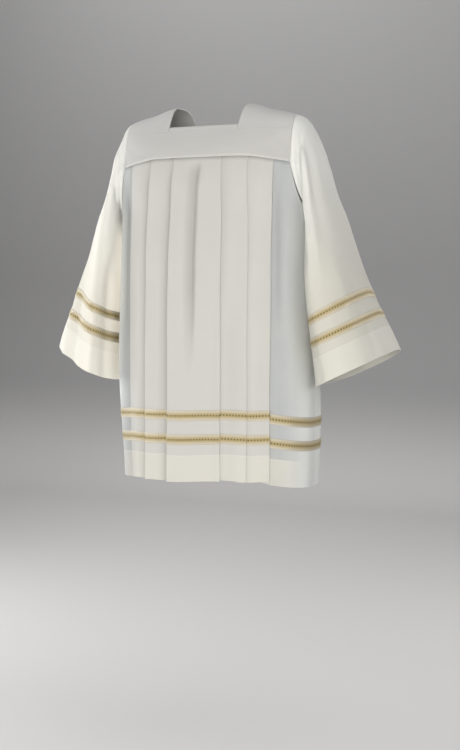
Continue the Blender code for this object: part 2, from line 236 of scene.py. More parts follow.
# a superellipse seen from above, y = depth * (1 - (x / halfWidth)^n)^(1/n)
def plan(x, width, squareness):
    return np.maximum(1 - (np.abs(x) / width) ** squareness, 0) ** (1 / squareness)


# the body's outer surface: the plan, drawn in towards the shoulder along the arch
def bodyDepth(x, z, side):
    width, depth, squareness = bodySizes(z, side)
    rise = (z - body["shoulderBase"]) / (shoulderHeight(x) - body["shoulderBase"])
    drawIn = np.interp(np.clip(rise, 0, 1), arch[:, 1], arch[:, 0])
    return side * depth * plan(x, width, squareness) * drawIn


# points over the shoulder: the share runs along the arch from the body's depth (0) to the top (1)
def shoulderSurface(x, share, side):
    place = share * (archSamples - 1)
    samples = np.arange(archSamples)
    rise, drawIn = np.interp(place, samples, arch[:, 1]), np.interp(place, samples, arch[:, 0])
    z = body["shoulderBase"] + (shoulderHeight(x) - body["shoulderBase"]) * rise
    width, depth, squareness = bodySizes(z, side)
    return np.stack([x, side * depth * plan(x, width, squareness) * drawIn, z], -1)


def archShareAt(x, z):
    rise = (z - body["shoulderBase"]) / (shoulderHeight(x) - body["shoulderBase"])
    return np.interp(rise, arch[:, 1], np.arange(archSamples)) / (archSamples - 1)


def shoulderNormal(x, share, side):
    step = 0.002
    across = shoulderSurface(x + step, share, side) - shoulderSurface(x - step, share, side)
    low = np.clip(share - 0.01, 0, 0.97)
    up = shoulderSurface(x, low + 0.02, side) - shoulderSurface(x, low, side)
    return unit(np.cross(across, up) * -side)


# The yoke: two bands and two shoulder pieces

yoke = {
    "cloth": 0.0016,
    "seam": -0.124,
    "endDip": 0.014,
    "dipStart": 0.117,
    "half": 0.203,
    "shoulderSeam": -0.060,
    "neckEdge": {-1: -0.051, 1: -0.030},
    "neckHalfCorner": 0.083,
    "neckHalfTop": 0.0905,
    "neckBorder": 0.0065,     # the turned edge round the neck
    "neckBorderRise": 0.0003,
    "neckBorderEdge": 0.0012,
    "seamRidge": 0.0050,      # the raised seam where the pleats are sewn in
    "seamRidgeRise": 0.00035,
    "turn": 0.002,
    "dipRound": 0.03,
    "shoulderStart": 0.064,   # how far above the pleats' seam the shoulder piece begins
}


# how far the seam falls towards the armhole: a ramp t with its corner rounded, (t + sqrt(t^2 + r)) / 2
def yokeDip(x):
    fall = (np.abs(x) - yoke["dipStart"]) / (yoke["half"] - yoke["dipStart"])
    ramp = (fall + np.sqrt(fall ** 2 + yoke["dipRound"])) / (1 + math.sqrt(1 + yoke["dipRound"]))
    return yoke["endDip"] * np.minimum(ramp, 1)


# spacing from 0 to 1 with a close pair of lines at both ends, which keeps the edges crisp
def evenly(count, edge=0.004):
    return np.concatenate([[0, edge], np.linspace(0, 1, count)[1:-1], [1 - edge, 1]])


# soft unevenness of the yokes: the line as (x, z), then width, height, and how it fades
yokeCreases = {
    -1: [
        ([(-0.200, -0.075), (-0.165, -0.110), (-0.120, -0.122)], 0.012, -0.0012, 0.3, 0.4),
        ([(0.200, -0.070), (0.172, -0.105), (0.140, -0.122)], 0.012, -0.0016, 0.3, 0.4),
        ([(-0.030, -0.060), (-0.012, -0.120)], 0.022, -0.0008, 0.3, 0.3),
        ([(0.060, -0.062), (0.072, -0.118)], 0.018, 0.0006, 0.3, 0.3),
    ],
    1: [
        ([(-0.198, -0.080), (-0.160, -0.112), (-0.125, -0.122)], 0.012, -0.0014, 0.3, 0.4),
        ([(0.198, -0.072), (0.168, -0.108), (0.130, -0.122)], 0.012, -0.0013, 0.3, 0.4),
        ([(0.022, -0.040), (0.010, -0.118)], 0.024, -0.0009, 0.3, 0.3),
    ],
}


def placedOnBody(creases, side):
    return [([(x, float(bodyDepth(x, z, side)), z) for x, z in line], *rest) for line, *rest in creases]


# a band: columns across the chest, rows up the arch from the pleats' seam to the neck edge or the
# shoulder seam. The neck edge is raised, and the seam at the pleats is a round ridge whose own edge
# sinks to the pleats
def yokeBand(name, node, side):
    corner, gap = yoke["neckHalfCorner"], body["seamGap"]
    half = np.concatenate([corner * evenly(20), corner + gap + (yoke["half"] - corner - gap) * evenly(30)])
    x = np.concatenate([-half[:0:-1], half])
    inNeck = np.abs(x) <= corner + gap / 2
    top = np.where(inNeck, yoke["neckEdge"][side], yoke["shoulderSeam"])
    low = yoke["seam"] - yokeDip(x)
    first, last = archShareAt(x, low + yoke["turn"]), archShareAt(x, top)
    climb = np.concatenate([[0, 0.010, 0.025, 0.045, 0.065, 0.090], np.linspace(0.12, 0.88, 24),
                            [0.905, 0.930, 0.950, 0.970, 0.985, 1]])
    shares = first + (last - first) * climb[:, None]
    across = np.broadcast_to(x, shares.shape)
    points, normals = shoulderSurface(across, shares, side), shoulderNormal(across, shares, side)
    normals[0] = unit(normals[0] * (1, 1, 0))
    drops = yoke["turn"] * np.array([1, 0.9, 0.5])[:, None, None] * (0, 0, 1)
    points = np.concatenate([points[:1] - drops, points])
    normals = np.concatenate([np.repeat(normals[:1], 3, 0), normals])
    fromSeam = points[..., 2] - low
    fromNeck = np.where(inNeck, top - points[..., 2], 1)
    rise = yoke["seamRidgeRise"] * np.exp(-((fromSeam / yoke["seamRidge"] - 0.6) / 0.5) ** 2)
    rise -= yoke["seamRidgeRise"] * np.exp(-(fromSeam / yoke["seamRidge"] / 0.2) ** 2)
    rise += yoke["neckBorderRise"] * (1 - ease((fromNeck - yoke["neckBorder"]) / yoke["neckBorderEdge"]))
    lift = creaseHeights(points, placedOnBody(yokeCreases[side], side))
    edgeGuard = ease(fromSeam / 0.02) * ease((top - points[..., 2]) / 0.015)
    half = yoke["cloth"] / 2
    middle = points + normals * (lift * edgeGuard - half)[..., None]
    measures = np.stack([np.broadcast_to(x, fromSeam.shape), fromSeam], -1)
    piece = shell(name, middle, normals, (half + rise)[..., None], half, measures)
    dress(piece, node, "yokeCloth")


# a shoulder piece: columns from the neck to the armhole, rows from the front seam over the top to the
# back seam, with the neck's turned edge
def yokeShoulder(name, node, hand):
    gap = body["seamGap"]
    climb = np.concatenate([evenly(26, 0.01)[:-1] - 1, 1 - evenly(26, 0.01)[::-1]])
    half = yoke["cloth"] / 2
    rows, ways, borders = [], [], []
    spread = evenly(34, 0.006)
    for place in climb:
        side = -1 if place <= 0 else 1
        topShare = 1 - abs(place)
        neck = yoke["neckHalfCorner"] + gap * 2
        neck += (yoke["neckHalfTop"] - yoke["neckHalfCorner"]) * topShare
        x = neck + (yoke["half"] - neck) * spread
        seam = archShareAt(x, yoke["shoulderSeam"])
        share = seam + (1 - seam) * topShare
        normal = shoulderNormal(x, share, side)
        if topShare > 0.999:
            normal = unit(normal * (1, 0, 1))
        rows.append(shoulderSurface(x, share, side))
        ways.append(normal)
        borders.append(x - neck)
    points, normals, fromNeck = np.array(rows), np.array(ways), np.array(borders)
    rise = yoke["neckBorderRise"] * (1 - ease((fromNeck - yoke["neckBorder"]) / yoke["neckBorderEdge"]))
    mirror = np.array([hand, 1, 1])
    middle = (points - normals * half) * mirror
    along = lengthAlong(points[:, 17]) + yoke["shoulderStart"]
    measures = np.stack([points[..., 0], np.broadcast_to(along[:, None], fromNeck.shape)], -1)
    piece = shell(name, middle, normals * mirror, (half + rise)[..., None], half, measures)
    dress(piece, node, "yokeCloth")


# The pleated panels

pleats = {
    "cloth": 0.0005,
    "heights": np.array([-0.124, -0.360, -0.849]),
    "places": np.array([
        # first second third, at the yoke, the chest and the hem
        (0.0575, 0.1170, 0.1720),
        (0.0640, 0.1240, 0.1720),
        (0.0650, 0.1240, 0.1710),
    ]),
    "pitches": (0.0018, 0.0032),    # from a fold's top layer to its next, and to its lowest
    "closest": (0.0006, 0.0008),
    "sideRise": 0.40,         # share of the plain side over which it rises from the last fold
    "depth": 0.022,
    "riseMargin": 0.004,
    "pressedAtSeam": 0.40,    # the folds lie closer together where they are sewn in
    "pressedOver": 0.070,
    "pressed": {              # how open the first, second and third fold stand, by face and hand
        (-1, -1): (1.45, 1.35, 1.30), (-1, 1): (0.50, 0.36, 0.62),
        (1, -1): (0.60, 0.45, 0.70), (1, 1): (1.35, 1.20, 1.25),
    },
    "waver": 0.0006,          # how far a fold wanders from its line
    "hang": {                 # how far each stretch hangs down at the hem: the middle, then each fold
        # and the layer under it
        (-1, -1): (0.0023, 0.0065, 0.0020, 0.0045, 0.0020, 0.0020, 0.0),
        (-1, 1): (0.0023, -0.0020, -0.0040, 0.0, 0.0, -0.0030, 0.0),
        (1, -1): (0.0010, -0.0015, -0.0035, 0.0010, -0.0010, -0.0020, 0.0),
        (1, 1): (0.0010, 0.0045, 0.0015, 0.0030, 0.0010, 0.0020, 0.0),
    },
    "sideDrop": {-1: 0.009, 1: 0.020},
    # the depth down in a fold at which its painted shade is full
    "shadeDepth": 0.007,
    "hemDepth": 0.060,        # the hem is turned up once and stitched
    "hemCloth": 0.0005,
}

# creases of each panel: the line as (x, z), then width, height, and the shares it fades over
panelCreases = {
    -1: [
        ([(0.0020, -0.128), (-0.005, -0.196), (-0.007, -0.305), (-0.007, -0.470), (-0.008, -0.640)],
         (0.0190, 0.0085), -0.0075, 0.05, 0.50),
        ([(-0.034, -0.150), (-0.036, -0.420), (-0.030, -0.700)], 0.016, 0.0014, 0.3, 0.4),
        ([(0.030, -0.200), (0.034, -0.500), (0.026, -0.849)], 0.017, 0.0013, 0.3, 0.0),
        ([(0.050, -0.300), (0.052, -0.849)], 0.008, -0.0010, 0.3, 0.0),
        ([(-0.090, -0.250), (-0.094, -0.560), (-0.088, -0.849)], 0.012, 0.0014, 0.4, 0.0),
        ([(0.088, -0.350), (0.094, -0.849)], 0.014, -0.0012, 0.4, 0.0),
        ([(-0.150, -0.300), (-0.152, -0.849)], 0.010, 0.0012, 0.3, 0.0),
        ([(0.148, -0.420), (0.146, -0.849)], 0.013, 0.0012, 0.4, 0.0),
        ([(-0.190, -0.150), (-0.196, -0.330), (-0.198, -0.600)], 0.011, -0.0050, 0.15, 0.5),
        ([(-0.212, -0.260), (-0.216, -0.470), (-0.214, -0.849)], 0.010, 0.0030, 0.3, 0.0),
        ([(0.187, -0.160), (0.190, -0.330), (0.192, -0.560)], 0.009, -0.0030, 0.2, 0.5),
        ([(0.206, -0.330), (0.212, -0.560), (0.210, -0.868)], 0.020, 0.0020, 0.4, 0.0),
    ],
    1: [
        ([(0.0010, -0.128), (0.006, -0.200), (0.009, -0.420), (0.007, -0.620)], (0.0050, 0.0160), -0.0055,
         0.12, 0.45),
        ([(0.036, -0.200), (0.034, -0.500), (0.030, -0.849)], 0.016, 0.0015, 0.3, 0.0),
        ([(-0.033, -0.300), (-0.030, -0.849)], 0.017, 0.0012, 0.3, 0.0),
        ([(0.092, -0.250), (0.095, -0.849)], 0.013, 0.0014, 0.4, 0.0),
        ([(-0.090, -0.400), (-0.086, -0.849)], 0.013, -0.0012, 0.4, 0.0),
        ([(0.150, -0.350), (0.148, -0.849)], 0.011, 0.0012, 0.3, 0.0),
        ([(-0.190, -0.160), (-0.192, -0.340), (-0.196, -0.560)], 0.010, -0.0036, 0.2, 0.5),
        ([(0.188, -0.160), (0.192, -0.330), (0.190, -0.600)], 0.010, -0.0040, 0.2, 0.5),
        ([(0.212, -0.300), (0.216, -0.849)], 0.012, 0.0030, 0.3, 0.0),
        ([(-0.214, -0.420), (-0.212, -0.849)], 0.013, 0.0028, 0.3, 0.0),
    ],
}


# creases that run over the side seam onto both panels, as points
sideCreases = [
    ([(-0.236, -0.050, -0.560), (-0.238, -0.050, -0.720), (-0.232, -0.050, -0.870)], 0.085, -0.0150,
     0.9, 0.0),
    ([(0.240, -0.010, -0.560), (0.240, -0.010, -0.870)], 0.030, -0.0030, 0.5, 0.0),
]


# half of a panel seen from below, as distance along the body and depth under its surface: each pleat
# runs out to its fold, turns back under itself, turns again and rises to the next one. pitches are its
# two steps down. Also the columns where each fold and the end of each lowest layer lie
def pleatPath(edges, end, pitches):
    turn = np.linspace(0, math.pi, 8)
    path = []

    def level(start, finish, depth, count):
        path.append(np.column_stack([np.linspace(start, finish, count), np.full(count, -depth)])[:-1])

    def arc(x, depth, radius, way):
        path.append(np.column_stack([x + way * radius * np.sin(turn), -depth + radius * np.cos(turn)])[:-1])

    def column():
        return sum(len(part) for part in path)

    level(0, 0.030, 0, 19)
    start = 0.030
    marks = [0]
    for number, (edge, (fold, under)) in enumerate(zip(edges, pitches)):
        step = fold + under
        level(start, edge - fold / 2, 0, 8)
        arc(edge - fold / 2, fold / 2, fold / 2, 1)
        marks.append(column())
        level(edge - fold / 2, edge - pleats["depth"] + under / 2, fold, 6)
        arc(edge - pleats["depth"] + under / 2, fold + under / 2, under / 2, -1)
        sideStart = column()
        level(edge - pleats["depth"] + under / 2, edge + 0.002, step, 7)
        marks.append(column())
        if number + 1 < len(edges):
            start = edges[number + 1] - pleats["depth"] - pleats["riseMargin"]
            share = np.linspace(0, 1, 12)[:-1]
            path.append(np.column_stack([edge + 0.002 + (start - edge - 0.002) * share,
                                         -step * (1 - share) ** 2]))
    share = evenly(34, 0.01)
    reach = end - edges[-1] - 0.002
    rest = 1 - np.minimum(share / pleats["sideRise"], 1)
    path.append(np.column_stack([edges[-1] + 0.002 + reach * share, -step * rest ** 2]))
    return np.vstack(path), sideStart, marks


# steps out from a flat path that keep every stretch the same distance away
def miterNormals(path):
    along = unit(np.diff(path, axis=0))
    left = np.stack([-along[:, 1], along[:, 0]], -1)
    before, after = np.vstack([left[:1], left]), np.vstack([left, left[-1:]])
    return (before + after) / (1 + (before * after).sum(-1, keepdims=True))


# the body's outline at a height, from the middle to the side: x, y, height and distance along it
def bodyOutline(z, side, dipShare):
    width = float(bodySizes(z, side)[0])
    x = width * np.sin(np.linspace(0, math.pi / 2, 500))
    height = z - yokeDip(x) * dipShare
    y = bodyDepth(x, height, side)
    return x, y, height, lengthAlong(np.column_stack([x, y]))


# a panel's rows at the given heights, moved out by lift: base points on the body, the way out, each
# point's depth, and the cloth's length from the middle. Both halves follow one pleat path; the plain
# sides hang a little lower
def pleatedRows(rows, side, lift):
    bases, ways, depths, lengths = [], [], [], []
    for z, endDepth, dipShare in rows:
        x, y, height, along = bodyOutline(z, side, dipShare)
        end = np.interp(-endDepth - body["seamGap"] / 2, -np.abs(y), along)
        edges = np.interp(smoothThrough(-pleats["heights"], pleats["places"], np.array(-z)), x, along)
        slope = np.column_stack([np.gradient(x, along), np.gradient(y, along)])
        opening = ease((yoke["seam"] - z) / pleats["pressedOver"])
        press = pleats["pressedAtSeam"] + (1 - pleats["pressedAtSeam"]) * opening
        halves = []
        for hand in (-1, 1):
            pitches = np.outer(pleats["pressed"][side, hand], pleats["pitches"]) * press
            folds = edges + opening * pleats["waver"] * np.sin(z * 19 + np.arange(3) * 2.2 + hand + side)
            flat, sideStart, marks = pleatPath(folds, end, np.maximum(pitches, pleats["closest"]))
            path = flat + miterNormals(flat) * lift
            place = pointsAt(path[:, 0], along, np.column_stack([x, y]))
            heading = unit(pointsAt(path[:, 0], along, slope))
            column = np.arange(len(flat))
            under = np.clip((column - sideStart) / 6, 0, 1)
            share = np.clip((flat[:, 0] - folds[-1]) / (end - folds[-1]), 0, 1)
            hang = 0.3 * under + 0.7 * np.sin(share * math.pi / 2)
            hang = np.where(column >= sideStart, np.clip((yoke["seam"] - z) / 0.35, 0, 1) * hang, 0)
            level = np.interp(path[:, 0], along, height) - pleats["sideDrop"][hand] * hang
            low = np.clip((yoke["seam"] - z) / (yoke["seam"] - body["hem"]), 0, 1) ** 2
            level = level - low * np.interp(column, marks, pleats["hang"][side, hand])
            way = np.column_stack([-side * heading[:, 1] * hand, side * heading[:, 0], np.zeros(len(flat))])
            point = np.column_stack([hand * place[:, 0], place[:, 1], level])
            halves.append((point, way, path[:, 1], hand * lengthAlong(flat)))
        joined = [np.concatenate([right[:0:-1], left]) for right, left in zip(*halves)]
        for table, row in zip((bases, ways, depths, lengths), joined):
            table.append(row)
    return np.array(bases), np.array(ways), np.array(depths), np.array(lengths)


# slow swells of the whole panel, a few tenths of a millimetre, wider and deeper towards the hem
def swell(base, side):
    x, z = base[..., 0], base[..., 2]
    fall = ease((yoke["seam"] - z) / 0.5)
    return fall * (0.0006 * np.sin(x * 61 + z * 3 + side) + 0.0005 * np.sin(x * 103 - z * 5 + 2 * side))


# a panel's mid-surface, the cloth's length at each point, and how deep down in its fold it lies, as the
# share of painted shade there
def pleatedGrid(rows, side, lift):
    base, way, depth, length = pleatedRows(rows, side, lift)
    soft = creaseHeights(base, placedOnBody(panelCreases[side], side) + sideCreases) + swell(base, side)
    soft = soft * ease((yoke["seam"] - base[..., 2]) / 0.03)
    grid = base + way * (depth - body["wall"] / 2 + soft)[..., None]
    return grid, length, np.clip(-(depth + soft - lift) / pleats["shadeDepth"], 0, 1)


# the armhole below the yoke: heights, depths, and what is left of the yoke's dip
def armhole(side, count):
    startZ = yoke["seam"] - yoke["endDip"]
    startY = abs(float(bodyDepth(yoke["half"], startZ, side)))
    turn = np.linspace(0, math.pi / 2, count)
    heights = startZ + (body["underarm"] - startZ) * np.sin(turn)
    return heights, startY * np.cos(turn), np.linspace(1, 0, count)


# a panel's rows as height, depth of its side edge, and share of the yoke's dip: past the armhole, then
# down to the hem, close together at the hem's stitching
def panelRows(side):
    heights, depths, dips = armhole(side, 20)
    middles = heights + yoke["endDip"] * dips
    middles[0] -= body["seamGap"]
    hemLine = body["hem"] + pleats["hemDepth"]
    plain = np.concatenate([
        np.linspace(body["underarm"], hemLine + 0.004, 50)[1:],
        hemLine + np.array([0.0015, 0.0, -0.0015, -0.004]),
        np.linspace(hemLine - 0.010, body["hem"] + 0.003, 8),
        body["hem"] + np.array([0.0008, 0.0]),
    ])
    return list(zip(middles, depths, dips)) + [(z, 0.0, 0.0) for z in plain]


# a panel: the pleated grid as a thin shell, twice as thick below the hem's stitching, with the share of
# painted shade down in its folds
def addPanel(name, node, side):
    rows = panelRows(side)
    grid, length, deep = pleatedGrid(rows, side, 0.0)
    z = np.array([row[0] for row in rows])
    doubled = ease((body["hem"] + pleats["hemDepth"] - z) / body["turnedEdge"])[:, None, None]
    half = pleats["cloth"] / 2
    above = np.broadcast_to((z - body["hem"])[:, None], length.shape)
    measures = np.stack([length, above], -1)
    piece = shell(name, grid, gridNormals(grid, (0, side, 0)), half + body["turnedRise"] * doubled,
                  half + pleats["hemCloth"] * doubled, measures, False, deep)
    dress(piece, node, "bodyCloth")


# The sleeves

sleeve = {
    "cloth": 0.0006,
    "rings": np.array([
        # outX   outY    outZ     inX     inY    inZ      depth   squareness
        (0.2290, 0.010, -0.0600, 0.2340, 0.000, -0.2750, 0.0920, 2.2),
        (0.2475, 0.017, -0.1200, 0.2345, 0.000, -0.3050, 0.1010, 2.5),
        (0.2635, 0.023, -0.1900, 0.2350, 0.000, -0.3350, 0.1100, 2.8),
        (0.2830, 0.028, -0.2460, 0.2360, 0.000, -0.3700, 0.1180, 3.0),
        (0.3060, 0.033, -0.3200, 0.2375, 0.001, -0.4150, 0.1270, 3.0),
        (0.3390, 0.040, -0.4070, 0.2400, 0.003, -0.4690, 0.1340, 2.8),
        (0.4070, 0.055, -0.5590, 0.2540, 0.006, -0.6350, 0.1400, 2.4),
    ]),
    # on the right one: how each ring's outermost point moves
    "rightOutChange": [
        # x     z
        (0.000, 0.000), (0.000, 0.000), (-0.002, 0.000), (-0.004, 0.002), (-0.006, 0.005), (-0.006, 0.007),
        (-0.012, 0.009),
    ],
    # how far the front of each ring hangs down
    "frontSag": {
        1: (0.0, 0.0, 0.001, 0.002, 0.006, 0.014, 0.010),
        -1: (0.0, 0.0, -0.001, -0.002, -0.004, -0.009, -0.004),
    },
    "backSag": 0.003,
    # the right one's ridge, from which its face towards the body starts: share of the way down, degrees
    "ridge": [(0.12, 80), (0.30, 90), (0.55, 103), (0.80, 114), (1.00, 118)],
    "start": 0.006,
    "hemDepth": 0.060,
    "steps": {"shoulder": 28, "band": 18, "panel": 42},
    "rows": 118,
}

# creases of each sleeve: the line as (share of the way down, degrees from the outermost line round by
# the front), then width, height, and the shares it fades over. Keys are the wearer's sides
sleeveCreases = {
    1: [
        ([(0.04, 62), (0.20, 74), (0.38, 82), (0.56, 86)], (0.0100, 0.0130), 0.0068, 0.12, 0.40, 1.4),
        ([(0.06, 36), (0.24, 52), (0.42, 60), (0.62, 66)], 0.0210, -0.0058, 0.20, 0.45),
        ([(0.045, 30), (0.055, 60), (0.060, 100), (0.050, 140)], 0.0060, -0.0040, 0.25, 0.25),
        ([(0.14, 112), (0.30, 118), (0.52, 116)], 0.0120, -0.0040, 0.25, 0.40),
        ([(0.40, 100), (0.70, 92), (1.00, 88)], 0.0200, 0.0024, 0.35, 0.0),
        ([(0.50, 50), (0.76, 56), (1.00, 58)], 0.0180, 0.0026, 0.35, 0.0),
        ([(0.62, 128), (1.00, 122)], 0.0130, -0.0030, 0.40, 0.0),
        ([(0.70, 28), (1.00, 34)], 0.0160, -0.0026, 0.40, 0.0),
        ([(0.10, 300), (0.34, 290), (0.66, 284)], 0.0120, -0.0050, 0.20, 0.40),
        ([(0.12, 268), (0.40, 262), (1.00, 258)], 0.0120, 0.0044, 0.25, 0.0),
        ([(0.40, 238), (1.00, 236)], 0.0140, -0.0036, 0.35, 0.0),
        ([(0.55, 312), (1.00, 316)], 0.0150, 0.0030, 0.35, 0.0),
        ([(0.60, 348), (1.00, 348)], 0.0450, 0.0070, 0.9, 0.0),
    ],
    -1: [
        (sleeve["ridge"], (0.0280, 0.0200), 0.0115, 0.25, 0.0, 1.15),
        ([(0.30, 132), (0.60, 142), (1.00, 146)], 0.0180, -0.0060, 0.30, 0.0),
        ([(0.10, 52), (0.30, 66), (0.50, 78)], 0.0120, -0.0040, 0.25, 0.45),
        ([(0.045, 30), (0.055, 60), (0.060, 100), (0.050, 140)], 0.0060, -0.0036, 0.25, 0.25),
        ([(0.55, 78), (0.80, 83), (1.00, 87)], 0.0140, -0.0055, 0.40, 0.0),
        ([(0.50, 62), (0.78, 66), (1.00, 70)], 0.0100, 0.0034, 0.35, 0.0),
        ([(0.62, 38), (0.82, 38), (1.00, 38)], 0.0600, 0.0150, 0.9, 0.0),
        ([(0.10, 296), (0.34, 286), (0.62, 280)], 0.0120, -0.0048, 0.20, 0.40),
        ([(0.14, 264), (0.40, 258), (1.00, 252)], 0.0110, 0.0044, 0.25, 0.0),
        ([(0.45, 234), (1.00, 230)], 0.0140, -0.0040, 0.35, 0.0),
        ([(0.50, 306), (1.00, 312)], 0.0150, 0.0032, 0.35, 0.0),
    ],
}


# the armhole from the top, down the front, under the arm and up the back: points and the way out
def armholeRing():
    steps = sleeve["steps"]
    halves = []
    for side in (-1, 1):
        seam = archShareAt(yoke["half"], yoke["shoulderSeam"])
        low = archShareAt(yoke["half"], yoke["seam"] - yoke["endDip"])
        shares = np.concatenate([np.linspace(1, seam, steps["shoulder"] + 1),
                                 np.linspace(seam, low, steps["band"] + 1)[1:]])
        edge = np.full(len(shares), yoke["half"])
        points, normals = shoulderSurface(edge, shares, side), shoulderNormal(edge, shares, side)
        normals[0] = unit(normals[0] * (1, 0, 1))
        heights, depths, _ = armhole(side, steps["panel"] + 1)
        places = []
        for z, depth in zip(heights[1:], depths[1:]):
            x, y, _, _ = bodyOutline(z, side, 0.0)
            places.append((np.interp(-depth, -np.abs(y), x), side * depth, z))
        places = np.array(places)
        points = np.vstack([points, places])
        normals = np.vstack([normals, unit(places * (1, 2.0, 0))])
        halves.append((points, normals))
    return [np.vstack([halves[0][k], halves[1][k][-2:0:-1]]) for k in (0, 1)]


# a sleeve's mid-surface, as if on the left: a cubic down the sleeve through the armhole and each ring,
# where a ring is a superellipse between its outermost and innermost points, hung down in front
def sleeveSurface(hand):
    edge, normals = armholeRing()
    count, half = len(edge), len(edge) // 2
    turn = lengthAlong(np.vstack([edge, edge[:1]]))
    total, under, turn = turn[-1], turn[half], turn[:-1]
    angle = np.where(np.arange(count) <= half, math.pi * turn / under,
                     math.pi + math.pi * (turn - under) / (total - under))
    seamEnd = yoke["seam"] - yoke["endDip"]
    low = (np.clip((seamEnd - edge[:, 2]) / (seamEnd - body["underarm"]), 0, 1) ** 0.7)[:, None]
    first = edge + (1 - low) * (normals * -body["wall"] / 2 + (0.00045, 0, 0)) + low * (0.0011, 0, 0)
    tangent = unit(np.cross(normals, np.roll(edge, -1, 0) - np.roll(edge, 1, 0)))
    leave = unit((1 - low) * tangent + low * (0.7, 0, -0.8))
    rings = [first, first + leave * sleeve["start"]]
    sags = sleeve["frontSag"][hand]
    for row, change, sag in zip(sleeve["rings"], sleeve["rightOutChange"], sags):
        outer, inner, (depth, squareness) = row[:3], row[3:6], row[6:]
        if hand < 0:
            outer = outer + (change[0], 0, change[1])
        cosine, sine = np.cos(angle), np.sin(angle)
        across = np.sign(cosine) * np.abs(cosine) ** (2 / squareness)
        deep = -np.sign(sine) * np.abs(sine) ** (2 / squareness)
        backSag = sleeve["backSag"] * abs(sag / sags[-1])
        hang = np.maximum(-deep, 0) * sag + np.maximum(deep, 0) * backSag
        rings.append((outer + inner) / 2 + across[:, None] * (outer - inner) / 2
                     + deep[:, None] * (0, depth, 0) - hang[:, None] * (0, 0, 1))
    rings = np.array(rings)
    knots = np.concatenate([[0], np.cumsum(np.linalg.norm(np.diff(rings, axis=0), axis=2).mean(1))])
    length = knots[-1]
    hemLine = length - sleeve["hemDepth"]
    places = np.concatenate([
        [0, 0.0008], np.linspace(0.004, 0.040, 12), np.linspace(0.044, hemLine - 0.004, sleeve["rows"] - 36),
        hemLine + np.array([-0.0015, 0.0, 0.0015, 0.004]),
        np.linspace(hemLine + 0.008, length - 0.003, 10), [length - 0.0008, length],
    ])
    return smoothThrough(knots, rings, places), places, angle, length


# the crease lines of a sleeve as points on its surface
def placedOnSleeve(creases, surface, places, angle, length):
    placed = []
    for line, *rest in creases:
        marks = np.array(line, float)
        share = np.linspace(0, 1, 22)
        knots = np.linspace(0, 1, len(marks))
        down = np.interp(share, knots, marks[:, 0]) * length
        degrees = np.interp(share, knots, marks[:, 1])
        row = np.array([np.abs(places - place).argmin() for place in down])
        column = np.array([np.abs(angle - math.radians(value)).argmin() for value in degrees])
        placed.append((surface[row, column], *rest))
    return placed


# a sleeve's creased mid-surface and its normals, the distance down to each row, the whole length, and
# the angle of each column
def sleeveGrid(hand):
    surface, places, angle, length = sleeveSurface(hand)
    centre = surface.mean(1, keepdims=True)
    normals = gridNormals(surface, surface - centre, True)
    soft = creaseHeights(surface, placedOnSleeve(sleeveCreases[hand], surface, places, angle, length))
    guard = ease((places - 0.004) / 0.03)[:, None]
    z = surface[..., 2]
    soft = soft + 0.0006 * np.sin(angle * 5 + z * 9 + hand) + 0.0005 * np.sin(angle * 8 - z * 14 + 2 * hand)
    grid = surface + normals * (soft * guard)[..., None]
    return grid, gridNormals(grid, grid - centre, True), places, length, angle


# a painted glow on the right sleeve, as a share: emission that stands in for light through its cloth
glow = {
    "base": 0.31,
    "before": 0.20,           # more of it just before the ridge
    "beforeReach": 25,        # degrees
    "atRidge": -0.22,         # less at the ridge, rising past it towards the body
    "rise": 0.70,
    "riseEnd": 165,           # degrees
    "fadeStart": 205,
    "cuffStart": 0.6,         # share of the way down from which the rise grows weaker
    "cuffLoss": 0.6,
}


# how strong the painted glow is, an emission standing in for light through the cloth: none on the
# left, and on the right one more and more past the ridge towards the body
def sleeveGlow(hand, places, angle, length):
    if hand > 0:
        return np.zeros((len(places), len(angle)))
    share = (places / length)[:, None]
    ridge = np.interp(share, *np.transpose(sleeve["ridge"]))
    degrees = np.degrees(angle)[None, :]
    past = ease((degrees - ridge) / 6) * (1 - ease((degrees - glow["fadeStart"]) / 25))
    more = glow["atRidge"] + glow["rise"] * np.clip((degrees - ridge) / (glow["riseEnd"] - ridge), 0, 1)
    more = more * (1 - glow["cuffLoss"] * ease((share - glow["cuffStart"]) / 0.35))
    before = ease((degrees - ridge + 30) / glow["beforeReach"]) * ease((ridge + 2 - degrees) / 6)
    return (glow["base"] + past * more + glow["before"] * before) * ease(share / 0.2)


# metres round and down a sleeve, with one column more than it has points
def sleeveMeasures(grid, places, length):
    ring = np.concatenate([grid, grid[:, :1]], 1)
    steps = np.linalg.norm(np.diff(ring, axis=1), axis=2)
    around = np.concatenate([np.zeros((len(grid), 1)), np.cumsum(steps, 1)], 1)
    up = np.broadcast_to((length - places)[:, None], around.shape)
    return np.stack([around, up], -1)


# a sleeve: a closed shell, twice as thick below the cuff's stitching, with the share of its painted glow
def addSleeve(name, node, hand):
    grid, normals, places, length, angle = sleeveGrid(hand)
    doubled = ease((places - length + sleeve["hemDepth"]) / body["turnedEdge"])[:, None, None]
    half = sleeve["cloth"] / 2
    mirror = np.array([hand, 1, 1])
    measures = sleeveMeasures(grid, places, length)
    piece = shell(name, grid * mirror, normals * mirror, half + body["turnedRise"] * doubled,
                  half + sleeve["cloth"] * doubled, measures, True, sleeveGlow(hand, places, angle, length))
    dress(piece, node, "sleeveCloth")


# The braids: two pale woven edges with a chain between them

braid = {
    "width": 0.023,
    "thick": 0.0005,
    "gap": 0.0002,
    "onHem": {"Lower": 0.0943, "Upper": 0.148},
    "onCuff": {"Lower": 0.094, "Upper": 0.145},
    "across": 23,
    "spacing": 0.0013,
    "chainHalf": 0.26,        # half-width of the chain, as a share of the braid's half
    "link": 0.0070,
    "ovalLength": 0.50,       # half-length of an oval, as a share of a link
    "ovalWidth": 0.80,        # and its half-width, as a share of the chain's
    "edgeRise": 0.00035,
    "chainRise": 0.00070,
    "rib": 0.0042,
    "ribSlant": 1.6,
}


